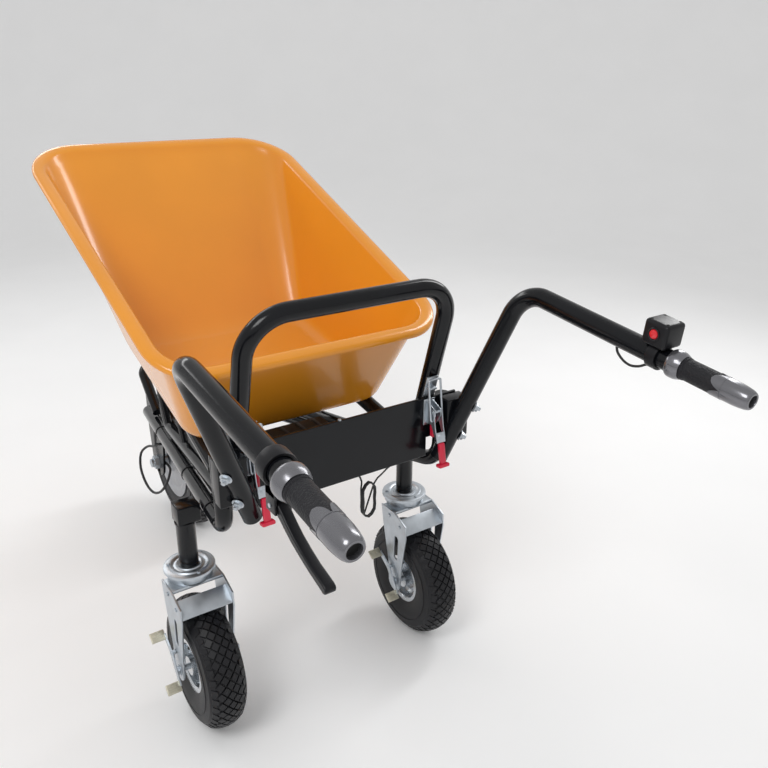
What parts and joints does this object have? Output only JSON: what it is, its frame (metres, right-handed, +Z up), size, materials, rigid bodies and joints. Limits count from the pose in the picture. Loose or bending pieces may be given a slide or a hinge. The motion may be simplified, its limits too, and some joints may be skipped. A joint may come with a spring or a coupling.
{
  "type": "power wheelbarrow",
  "caption": "Walk-behind powered barrow: tipping tub on a tube frame, hub-motor front wheel, braked rear casters, long handles with twist throttle and brake lever.",
  "frame": {"origin": "on the floor, under the middle of the machine's box", "axes": "+Y forward, towards the drive wheel, +X the machine's right, +Z up"},
  "size_m": [0.7188, 1.6558, 1.065],
  "materials": {
    "tub_orange": "glossy orange paint on pressed steel",
    "frame_black": "glossy black paint",
    "zinc_plate": "bright zinc plate",
    "rim_steel": "bright pressed steel",
    "tyre_rubber": "block tread",
    "grip_silver": "silver grey gloss",
    "grip_rubber": "fine raised grain",
    "black_plastic": "moulded",
    "latch_red": "red vinyl dip",
    "button_red": "gloss",
    "cable_black": "smooth cable jacket",
    "cast_aluminium": "as cast, machined edges",
    "stator_copper": "wound laminations",
    "pack_wrap": "shrink wrap"
  },
  "bodies": {
    "chassis": {"main_rail_left": "frame_black", "main_rail_right": "frame_black", "rear_beam": "frame_black", "cross_tube": "frame_black", "caster_mount_left": "frame_black", "caster_mount_right": "frame_black", "nose_bar": "frame_black", "tilt_shaft": "zinc_plate", "battery_cover": "black_plastic", "battery_pack": "pack_wrap", "motor_controller": "cast_aluminium", "dropout_left": "frame_black", "dropout_right": "frame_black", "drive_axle": "zinc_plate", "motor_stator": "stator_copper", "caster_top_plate_left": "zinc_plate", "caster_top_plate_right": "zinc_plate", "handle_left": "frame_black", "handle_right": "frame_black", "handle_bracket_left": "frame_black", "handle_bracket_right": "frame_black", "latch_base_left": "zinc_plate", "latch_base_right": "zinc_plate", "grip_collar_left": "grip_silver", "grip_collar_right": "grip_silver", "grip_sleeve": "grip_rubber", "grip_end": "grip_silver", "control_box": "black_plastic", "brake_perch": "black_plastic", "motor_cable": "cable_black", "throttle_lead": "cable_black", "spare_lead": "cable_black"},
    "tray": {"tub": "tub_orange", "tipping_frame": "frame_black", "tub_cradle": "frame_black", "tilt_yoke": "frame_black", "latch_keeper_left": "zinc_plate", "latch_keeper_right": "zinc_plate"},
    "drive_wheel": {"drive_tyre": "tyre_rubber", "hub_motor_shell": "cast_aluminium"},
    "caster_swivel_left": {"caster_fork_left": "zinc_plate"},
    "caster_wheel_left": {"caster_rim_left": "rim_steel", "caster_tyre_left": "tyre_rubber"},
    "caster_brake_left": {"brake_rocker_left": "zinc_plate"},
    "latch_handle_left": {"latch_lever_left": "zinc_plate", "latch_grip_left": "latch_red"},
    "latch_hook_left": {"latch_bail_left": "zinc_plate"},
    "latch_release_left": {"latch_trigger_left": "latch_red"},
    "caster_swivel_right": {"caster_fork_right": "zinc_plate"},
    "caster_wheel_right": {"caster_rim_right": "rim_steel", "caster_tyre_right": "tyre_rubber"},
    "caster_brake_right": {"brake_rocker_right": "zinc_plate"},
    "latch_handle_right": {"latch_lever_right": "zinc_plate", "latch_grip_right": "latch_red"},
    "latch_hook_right": {"latch_bail_right": "zinc_plate"},
    "latch_release_right": {"latch_trigger_right": "latch_red"},
    "brake_lever": {"brake_lever": "black_plastic"},
    "throttle_grip": {"throttle_sleeve": "grip_rubber", "throttle_end": "grip_silver"},
    "red_button": {"red_button": "button_red"}
  },
  "joints": [
    {"name": "tray_tilt", "type": "hinge", "parent": "chassis", "child": "tray", "pos_m": [0, 0.5329, 0.434], "axis": [-1, 0, 0], "range_deg": [0, 80]},
    {"name": "drive_wheel_spin", "type": "hinge", "parent": "chassis", "child": "drive_wheel", "pos_m": [0, 0.6279, 0.2], "axis": [1, 0, 0], "continuous": true},
    {"name": "caster_swivel_left", "type": "hinge", "parent": "chassis", "child": "caster_swivel_left", "pos_m": [-0.257, -0.0821, 0.332], "axis": [0, 0, 1], "continuous": true},
    {"name": "caster_spin_left", "type": "hinge", "parent": "caster_swivel_left", "child": "caster_wheel_left", "pos_m": [-0.257, -0.1241, 0.135], "axis": [1, 0, 0], "continuous": true},
    {"name": "caster_brake_left", "type": "hinge", "parent": "caster_swivel_left", "child": "caster_brake_left", "pos_m": [-0.317, -0.1121, 0.172], "axis": [1, 0, 0], "range_deg": [-12, 12]},
    {"name": "latch_open_left", "type": "hinge", "parent": "chassis", "child": "latch_handle_left", "pos_m": [-0.189, -0.2801, 0.628], "axis": [-1, 0, 0], "range_deg": [0, 90]},
    {"name": "latch_hook_left", "type": "hinge", "parent": "latch_handle_left", "child": "latch_hook_left", "pos_m": [-0.189, -0.2811, 0.611], "axis": [-1, 0, 0], "range_deg": [-81, 0]},
    {"name": "latch_release_left", "type": "hinge", "parent": "chassis", "child": "latch_release_left", "pos_m": [-0.189, -0.2691, 0.606], "axis": [1, 0, 0], "range_deg": [0, 15], "stiffness_Nm_per_rad": 0.02},
    {"name": "caster_swivel_right", "type": "hinge", "parent": "chassis", "child": "caster_swivel_right", "pos_m": [0.257, -0.0821, 0.332], "axis": [0, 0, 1], "continuous": true},
    {"name": "caster_spin_right", "type": "hinge", "parent": "caster_swivel_right", "child": "caster_wheel_right", "pos_m": [0.257, -0.1241, 0.135], "axis": [1, 0, 0], "continuous": true},
    {"name": "caster_brake_right", "type": "hinge", "parent": "caster_swivel_right", "child": "caster_brake_right", "pos_m": [0.197, -0.1121, 0.172], "axis": [1, 0, 0], "range_deg": [-12, 12]},
    {"name": "latch_open_right", "type": "hinge", "parent": "chassis", "child": "latch_handle_right", "pos_m": [0.189, -0.2801, 0.628], "axis": [-1, 0, 0], "range_deg": [0, 90]},
    {"name": "latch_hook_right", "type": "hinge", "parent": "latch_handle_right", "child": "latch_hook_right", "pos_m": [0.189, -0.2811, 0.611], "axis": [-1, 0, 0], "range_deg": [-81, 0]},
    {"name": "latch_release_right", "type": "hinge", "parent": "chassis", "child": "latch_release_right", "pos_m": [0.189, -0.2691, 0.606], "axis": [1, 0, 0], "range_deg": [0, 15], "stiffness_Nm_per_rad": 0.02},
    {"name": "brake_squeeze", "type": "hinge", "parent": "chassis", "child": "brake_lever", "pos_m": [-0.33557, -0.6571, 0.785], "axis": [-1, 0, 0], "range_deg": [0, 22], "stiffness_Nm_per_rad": 1, "springref_deg": -11.46},
    {"name": "throttle_twist", "type": "hinge", "parent": "chassis", "child": "throttle_grip", "pos_m": [0.33603, -0.7119, 0.82631], "axis": [0.0083, -0.9935, -0.1138], "range_deg": [0, 70], "stiffness_Nm_per_rad": 0.3},
    {"name": "red_button_press", "type": "slide", "parent": "chassis", "child": "red_button", "axis": [1, 0, 0], "range_m": [0, 0.0025], "stiffness_N_per_m": 400}
  ],
  "couplings": [
    {"joint": "latch_hook_left", "follows": "latch_open_left", "ratio": -0.9},
    {"joint": "latch_hook_right", "follows": "latch_open_right", "ratio": -0.9}
  ]
}
